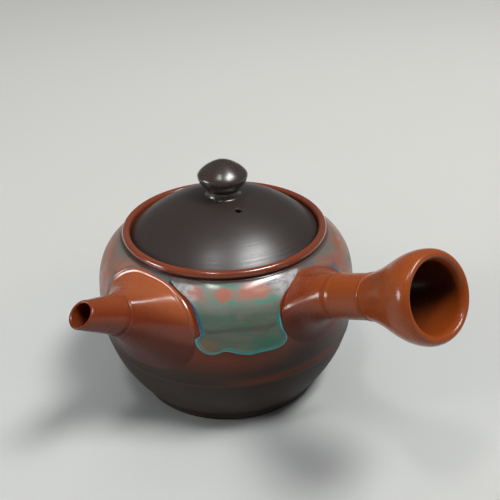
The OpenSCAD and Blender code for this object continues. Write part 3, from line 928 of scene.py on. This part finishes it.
class OBJECT_OT_teapot_spout(bpy.types.Operator):
    """Spout: wide luted root and the narrow tube with its slanted mouth"""
    bl_idname = "object.teapot_spout"
    bl_label = "Spout"

    def execute(self, context):
        b, s, oval, f = sets(context, "body", "spout", "spout_root", "finish")
        line = spout_line(s)
        clay = clay_material("spout_clay", tuple(f.red_clay), tuple(f.spout_clay), (0.054, 0.074), line,
                             gloss=0.24, coat=0.8, ring_depth=0.25, flash=(0.5, 0.35))
        seam = s.reach - s.tube
        rounding = 0.0008
        turns = full_turn(AROUND)
        border = root_border(b, oval, turns)
        hollow = -0.0016 * smooth(np.sin(turns - 0.75), 0.1, 1)
        skin = luted_root(b, line, turns, (seam - 0.0012, s.seam_radius), border, hollow, (0.3, 0.05))
        round_seam = arc((s.seam_radius - rounding, seam - rounding), rounding, 0, 90, 6)
        throat = s.hole_radius - 0.0002
        bore = bezier([[s.tube_bore, seam], [s.tube_bore + 0.002, seam - 0.006], [throat, 0.062],
                       [throat, 0.0565]], 24)
        inner = revolve(np.vstack([round_seam, bore]), line, AROUND)
        piece = make_piece("spout_trumpet", np.concatenate([skin, inner]), wrap=True)
        dress(piece, "pot", clay, "red_clay", "spout_root")

        around = 160
        steps = np.linspace(0, 1, 40)
        wall = (s.mouth_radius - s.mouth_bore) / 2
        shoulder = s.reach - wall
        groove = 0.00025 * bell(steps, 0.02, 0.03)
        outer = np.column_stack([between(s.tube_radius, s.mouth_radius, steps) - groove,
                                 between(seam, shoulder, steps)])
        rim = arc((s.mouth_radius - wall, shoulder), wall, 0, 180, 14)
        bore = np.column_stack([between(s.mouth_bore, s.tube_bore, steps), between(shoulder, seam, steps)])
        section = np.vstack([outer, rim[1:], bore[1:]])
        rows = revolve(section, line, around)
        share = smooth(section[:, 1], seam + s.tube * 0.25, s.reach)[:, None]
        rise = section[:, 0:1] * np.sin(full_turn(around))[None]
        rows -= (share * rise * math.tan(s.slant))[..., None] * line.along
        tube = make_piece("spout_tube", rows, wrap=True)
        dress(tube, "pot", clay, "red_clay", "spout_tip")
        return {"FINISHED"}


class OBJECT_OT_teapot_handle(bpy.types.Operator):
    """Side handle: luted root with its stem, and the hollow bell-shaped grip"""
    bl_idname = "object.teapot_handle"
    bl_label = "Side handle"

    def execute(self, context):
        b, h, oval, f = sets(context, "body", "handle", "handle_root", "finish")
        line = handle_line(h)
        clay = clay_material("handle_clay", tuple(f.red_clay), tuple(f.handle_clay), (0.06, 0.078), line,
                             gloss=0.28, coat=0.6, ring_depth=0.3, flash=(0.25, 0.1), underside_shade_end=0.1)
        grip = h.reach - h.grip
        stem = grip - h.stem
        rounding = 0.0006
        turns = full_turn(AROUND)
        border = root_border(b, oval, turns)
        dome = 0.0008 * smooth(np.sin(turns), -0.5, 0.3)
        seam = (stem - 0.0035, h.stem_radius + 0.0001)
        skin = luted_root(b, line, turns, seam, border, dome, (0.9, 0.3))
        seam_up = (h.seam_radius - h.stem_radius) * 0.6
        along = np.linspace(stem - 0.0032, grip - 0.0008, 60)
        ridge = seam_up * bell(along, stem, 0.001)
        lift = seam_up * smooth(along, grip - 0.002, grip - rounding)
        tube = np.column_stack([h.stem_radius + ridge + lift, along])
        end = arc((tube[-1, 0] - rounding, grip - rounding), rounding, 10, 90, 6)
        bore_end = stem - 0.011
        bore = [[h.bore_radius, grip], [h.bore_radius, grip - 0.012], [h.bore_radius, bore_end + 0.002],
                [h.bore_radius * 0.7, bore_end + 0.0002], [h.bore_radius * 0.3, bore_end]]
        outer = revolve(np.vstack([tube, end, bore]), line, AROUND)
        hidden = body_place(b, oval.turn, oval.height, -0.0012)
        piece = make_piece("handle_socket", np.concatenate([skin, outer]), first=hidden,
                           last=line.origin + bore_end * line.along)
        dress(piece, "pot", clay, "handle_clay", "handle_root")

        rim = h.reach - h.rim
        root = h.stem_radius + 0.0002
        start = bezier([[h.bore_radius, grip], [root, grip]], 4)
        flare = bezier([[root, grip], [h.grip_radius - 0.0057, rim - 0.0148],
                        [h.grip_radius, rim - 0.0088], [h.grip_radius, rim]], 60)
        # the rolled rim turns in by nearly twice its own thickness
        turned_in = 1.87
        thick = (h.grip_radius - h.hole_radius) / turned_in
        lip = arc((h.grip_radius - thick, rim), (thick, h.rim), 0, 158, 30)
        hollow = bezier([lip[-1], [h.hole_radius - 0.0006, rim - 0.009],
                         [h.bore_radius + 0.003, rim - 0.015], [h.bore_radius, grip + 0.006]], 40)[1:]
        shown = np.vstack([start, flare[1:], lip[1:]])
        rows = revolve(np.vstack([shown, hollow]), line, AROUND)
        depth = np.concatenate([np.full(len(shown), -0.01), h.reach - hollow[:, 1]])
        # painted shade inside the grip's hollow: it deepens inwards and reaches less far on the lower
        # wall, where light falls in
        floor_side = smooth(-np.sin(turns), 0.0, 0.9)
        hollow_shade = smooth(depth[:, None], 0.001, 0.005 + 0.018 * floor_side)
        bell_piece = make_piece("handle_bell", rows, wrap=True, values={"hollow": hollow_shade})
        dress(bell_piece, "pot", clay, "handle_clay", "handle_grip")
        return {"FINISHED"}


class OBJECT_OT_teapot_strainer(bpy.types.Operator):
    """Pierced clay dome behind the spout"""
    bl_idname = "object.teapot_strainer"
    bl_label = "Leaf strainer"

    def execute(self, context):
        s, f = sets(context, "spout", "finish")
        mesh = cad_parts["tea_strainer"].data.copy()
        piece = bpy.data.objects.new("leaf_strainer", mesh)
        context.scene.collection.objects.link(piece)
        weld = piece.modifiers.new("weld", "WELD")
        weld.merge_threshold = 1e-6
        apply_modifiers(piece)
        piece.data.shade_smooth()
        piece.data.set_sharp_from_angle(angle=math.radians(40))
        red = tuple(f.red_clay)
        clay = clay_material("strainer_clay", red, red, (0.05, 0.06), spout_line(s), gloss=0.5, coat=0.0,
                             ring_depth=0.1, flash=(0.0, 0.0))
        dress(piece, "pot", clay, "red_clay", "tea_strainer")
        return {"FINISHED"}


def glaze_height(rim_mm, thickness, bead):
    """Section of a run of glaze: a quarter round at its edge and a soft bead behind it."""
    rounded = np.sqrt(1 - (1 - np.clip(rim_mm / 0.8, 0, 1)) ** 2)
    return rounded * thickness + bead * bell(rim_mm, 1.0, 0.8) * rounded


def there_and_back(grid, axis=0):
    """A grid followed by itself turned round, for the shown and the sunk side of a coat."""
    return np.concatenate([grid, np.flip(grid, axis)], axis=axis)


class OBJECT_OT_teapot_glaze(bpy.types.Operator):
    """Run glaze: the thick front run and the coat round the back of the shoulder"""
    bl_idname = "object.teapot_glaze"
    bl_label = "Run glaze"

    def execute(self, context):
        b, g, f = sets(context, "body", "glaze", "finish")
        # height where the run ends below, and the depth of a coat's hidden side in the wall
        lowest, sunk = 0.0445, 0.0005
        top = neck(b)[1] - 0.0004
        # the front run's outline, as degrees round the body and millimetres above the table
        outline = np.array([
            (-167, 70.9), (-161, 69.9), (-156, 67.4), (-151, 63.9), (-148.3, 58.5), (-147.4, 53.9),
            (-149.2, 52.2), (-149.3, 50.2), (-147.8, 47.6), (-145, 45.5), (-141.4, 45.4), (-137.4, 46.8),
            (-132, 45.4), (-127.4, 44.5), (-121, 44.9), (-115, 45.3), (-111.8, 47.2), (-111.1, 49.8),
            (-112.8, 54), (-113.3, 59), (-112.2, 63), (-109, 65.6), (-104, 68.1), (-97, 69.9), (-97, 71),
            (-106, 71.1), (-118, 71.1), (-133, 71.1), (-148, 71.1), (-160, 71.2)])
        loop = closed_spline(np.column_stack([np.radians(outline[:, 0]), outline[:, 1] / 1000]), 520)
        loop[:, 1] = np.minimum(loop[:, 1], top)
        middle = np.array([math.radians(-130.5), 0.0585])
        shares = np.concatenate([np.linspace(0.03, 0.8, 40), np.linspace(0.81, 1, 44)])
        azimuth, height = np.moveaxis(between(middle, loop, shares[:, None, None]), -1, 0)
        reach = np.linalg.norm((loop - middle) * [b.belly_radius, 1], axis=1)
        rim = (1 - shares)[:, None] * reach[None] * 1000
        pooled = smooth(loop[:, 1], 0.064, 0.05)[None]
        out = glaze_height(rim, g.thickness, g.bead * pooled)
        rows = np.concatenate([body_place(b, azimuth, height, out - FILM),
                               body_place(b, azimuth[::-1], height[::-1], -sunk)])
        rise = (height - lowest) / (top - lowest)
        across = (azimuth - math.radians(-150)) / math.radians(40)
        values = {"rim": there_and_back(rim), "rise": there_and_back(rise),
                  "across": there_and_back(across)}
        front = make_piece("front_run", rows, first=body_place(b, *middle, g.thickness),
                           last=body_place(b, *middle, -sunk), values=values, sharp=60)
        dress(front, "pot", front_glaze_material(f), "run_glaze", "front_glaze")

        turn = np.linspace(math.radians(-98.5), math.radians(195), 800)
        drip = 0.0011 * np.sin(turn * 9 + 0.6) + 0.0007 * np.sin(turn * 17 + 2)
        low = g.lower_edge + drip + 0.0004 * np.sin(turn * 31)
        for oval in sets(context, "handle_root", "spout_root"):
            low = np.maximum(low, root_top(oval, turn) - 0.0004)
            low = np.maximum(low, between(g.lower_edge, oval.height, beside_root(oval, turn)))
        low = np.minimum(low, top - 0.0008)[:, None]
        share = np.concatenate([np.linspace(0, 0.12, 16), np.linspace(0.14, 1, 44)])
        height = between(low, top, share[None])
        slope = np.gradient(low[:, 0], turn * b.belly_radius)
        edge = (height - low) * 1000 / np.sqrt(1 + slope ** 2)[:, None]
        out = glaze_height(edge, g.thickness * 0.5, g.bead * 0.35)
        out = out * smooth(top - height, -0.0004, 0.0008)
        azimuth = turn[:, None]
        rows = np.concatenate([body_place(b, azimuth, height, out - FILM),
                               body_place(b, azimuth, height[:, ::-1], -0.0004)], axis=1)
        rise = (height - lowest) / (top - lowest)
        values = {"rim": there_and_back(edge, 1), "rise": there_and_back(rise, 1)}
        rear = make_piece("rear_coat", rows, first=rows[0].mean(0), last=rows[-1].mean(0), values=values,
                          sharp=60)
        dress(rear, "pot", rear_glaze_material(f), "run_glaze", "rear_glaze")
        return {"FINISHED"}


class OBJECT_OT_teapot_lid(bpy.types.Operator):
    """Domed lid with its flange and steam hole, and the jewel knob"""
    bl_idname = "object.teapot_lid"
    bl_label = "Lid and knob"

    def execute(self, context):
        b, d, f = sets(context, "body", "lid", "finish")
        rounding = 0.0006
        seat = b.lip_height - b.seat_depth
        edge = seat + d.edge
        top = edge + d.dome
        ball = (d.radius ** 2 + d.dome ** 2) / (2 * d.dome)
        centre = top - ball
        flange = b.mouth_radius - d.flange_gap
        bore = flange - d.flange_width

        def dome(radius, size):
            """Points of a ball of this size at distances from the axis, as radius and height."""
            return np.column_stack([radius, centre + np.sqrt(size ** 2 - radius ** 2)])

        rim = bezier([[d.radius - 0.0007, seat], [d.radius, seat], [d.radius, seat + 0.0007]], 6)
        brow = dome(np.array([d.radius - 0.0005]), ball)[0]
        shoulder = bezier([[d.radius, edge - 0.0005], [d.radius, edge - 0.00005], brow], 6)
        outer = dome(d.radius * np.cos(np.linspace(0.13, math.pi / 2 - 0.02, 90)), ball)
        inner = dome(bore * np.sin(np.linspace(0.02, math.pi / 2, 50)), ball - d.wall)
        collar = [[bore, inner[-1, 1] - 0.0008], [bore, d.flange_bottom + rounding],
                  [bore + rounding, d.flange_bottom], [flange - rounding, d.flange_bottom],
                  [flange, d.flange_bottom + rounding], [flange, seat - 0.0003], [flange + 0.0003, seat]]
        section = np.vstack([inner, collar, rim, shoulder[:-1], outer])
        piece = make_piece("domed_lid", revolve(section, UPRIGHT, 256),
                           first=[0, 0, centre + ball - d.wall], last=[0, 0, top])
        drill = Line(d.vent_turn, math.pi / 2 - math.asin(d.vent_distance / ball), centre)
        cut_round_hole(piece, drill, ball - d.wall - 0.002, ball + 0.002, d.vent_radius)
        clay = lid_material("lid_clay", tuple(f.lid_clay), rings_share=0.0, gloss=0.35, coat=0.0,
                            relief=0.1)
        dress(piece, "lid", clay, "dark_clay", "lid")

        widest = top + d.knob_widest
        waist = top + 0.0022
        foot = dome(np.linspace(0.001, d.knob_foot, 8), ball - 0.0002)
        stem = bezier([foot[-1] + [0, 0.0001], [d.waist_radius + 0.0006, foot[-1, 1] + 0.0002],
                       [d.waist_radius, top + 0.0006], [d.waist_radius, waist]], 20)
        swell = np.linspace(0, 1, 30)[1:]
        cup = np.column_stack([between(d.waist_radius, d.knob_radius, np.sin(swell * math.pi / 2)),
                               between(waist, widest, swell)])
        round_up = np.linspace(0, math.pi / 2, 60)[1:-1]
        crown = np.column_stack([d.knob_radius * np.cos(round_up) ** 1.4,
                                 between(widest, d.knob_top, np.sin(round_up) ** 1.48)])
        section = np.vstack([foot, stem, cup, crown])
        knob = make_piece("jewel_knob", revolve(section, UPRIGHT, AROUND), first=[0, 0, foot[0, 1]],
                          last=[0, 0, d.knob_top], sharp=80)
        clay = lid_material("knob_clay", tuple(f.knob_clay), rings_share=0.7, gloss=0.27, coat=0.3,
                            relief=0.06)
        dress(knob, "lid", clay, "dark_clay", "lid_knob")
        return {"FINISHED"}


class OBJECT_OT_teapot_stage(bpy.types.Operator):
    """Plain pale floor, soft studio light and the camera"""
    bl_idname = "object.teapot_stage"
    bl_label = "Stage"

    def execute(self, context):
        scene = context.scene
        scene.view_settings.view_transform = "Standard"
        half, below = 3, 0.0002
        corners = [(x * half, y * half, -below) for x, y in ((-1, -1), (1, -1), (1, 1), (-1, 1))]
        mesh = bpy.data.meshes.new("floor")
        mesh.from_pydata(corners, [], [(0, 1, 2, 3)])
        floor = bpy.data.objects.new("floor", mesh)
        scene.collection.objects.link(floor)
        material, n = new_material("pale_floor")
        x, y = n.parts(n.place())[:2]
        depth = n.times(n.plus(x, y), 0.7071)
        cloud = n.times(n.noise(n.place(), 6, 2), 0.06)
        # painted light falloff: the floor gets lighter further back from the camera
        shade = n.tint(seen(185, 185, 181), seen(214, 213, 208), n.range(n.plus(depth, cloud), -0.12, 0.6))
        # painted shade: a darker, bluish ring on the floor round the pot
        shade = n.tint(shade, seen(184, 186, 184), n.range(n.radius(x, y), 0.17, 0.07))
        shader = n.add("ShaderNodeBsdfPrincipled", {"Base Color": shade, "Roughness": 0.55})
        n.add("ShaderNodeOutputMaterial", {"Surface": shader.outputs[0]})
        mesh.materials.append(material)

        world = bpy.data.worlds.new("soft_room")
        world.use_nodes = True
        background = world.node_tree.nodes["Background"].inputs
        background["Color"].default_value = (0.9, 0.95, 1.0, 1)
        background["Strength"].default_value = 0.15
        scene.world = world

        for name, place, size, power, spread in LAMPS:
            light = bpy.data.lights.new(name, "AREA")
            light.shape = "RECTANGLE"
            light.size, light.size_y = size
            light.energy = power
            light.spread = math.radians(spread)
            lamp = bpy.data.objects.new(name, light)
            lamp.location = place
            lamp.visible_glossy = name != "back_softbox"
            aim = Vector((0, 0, 0.04)) - lamp.location
            lamp.rotation_euler = aim.to_track_quat("-Z", "Y").to_euler()
            scene.collection.objects.link(lamp)

        place = Vector((-0.2441, -0.2390, 0.2486))
        aim = Vector((0.0176, 0.0017, 0.0534))
        roll = math.radians(-1.366)
        ahead = (aim - place).normalized()
        level = ahead.cross(Vector((0, 0, 1))).normalized()
        right = level * math.cos(roll) + level.cross(ahead) * math.sin(roll)
        up = right.cross(ahead)
        lens = bpy.data.cameras.new("photo_camera")
        lens.sensor_width = 36
        lens.lens = 64.8
        lens.clip_start = 0.01
        camera = bpy.data.objects.new("photo_camera", lens)
        camera.matrix_world = Matrix.Translation(place) @ Matrix((right, up, -ahead)).transposed().to_4x4()
        scene.collection.objects.link(camera)
        scene.camera = camera
        return {"FINISHED"}


class VIEW3D_PT_teapot(bpy.types.Panel):
    """Teapot pieces and sizes"""
    bl_label = "Kyusu teapot"
    bl_space_type = "VIEW_3D"
    bl_region_type = "UI"
    bl_category = "Teapot"

    def draw(self, context):
        for operator in OPERATORS:
            self.layout.operator(operator.bl_idname)
        for name, group in SETS.items():
            column = self.layout.column(heading=group.__doc__)
            for field in group.__annotations__:
                column.prop(getattr(context.scene, name), field)


OPERATORS = (OBJECT_OT_teapot_stage, OBJECT_OT_teapot_body, OBJECT_OT_teapot_spout,
             OBJECT_OT_teapot_handle, OBJECT_OT_teapot_strainer, OBJECT_OT_teapot_glaze,
             OBJECT_OT_teapot_lid)
CLASSES = (*SETS.values(), *OPERATORS, VIEW3D_PT_teapot)


def register():
    for item in CLASSES:
        bpy.utils.register_class(item)
    for name, group in SETS.items():
        setattr(bpy.types.Scene, name, PointerProperty(type=group))


def unregister():
    for name in SETS:
        delattr(bpy.types.Scene, name)
    for item in reversed(CLASSES):
        bpy.utils.unregister_class(item)


def main():
    register()
    bpy.ops.object.teapot_stage()
    bpy.ops.object.teapot_body()
    bpy.ops.object.teapot_spout()
    bpy.ops.object.teapot_handle()
    bpy.ops.object.teapot_strainer()
    bpy.ops.object.teapot_glaze()
    bpy.ops.object.teapot_lid()


if __name__ == "__main__":
    main()
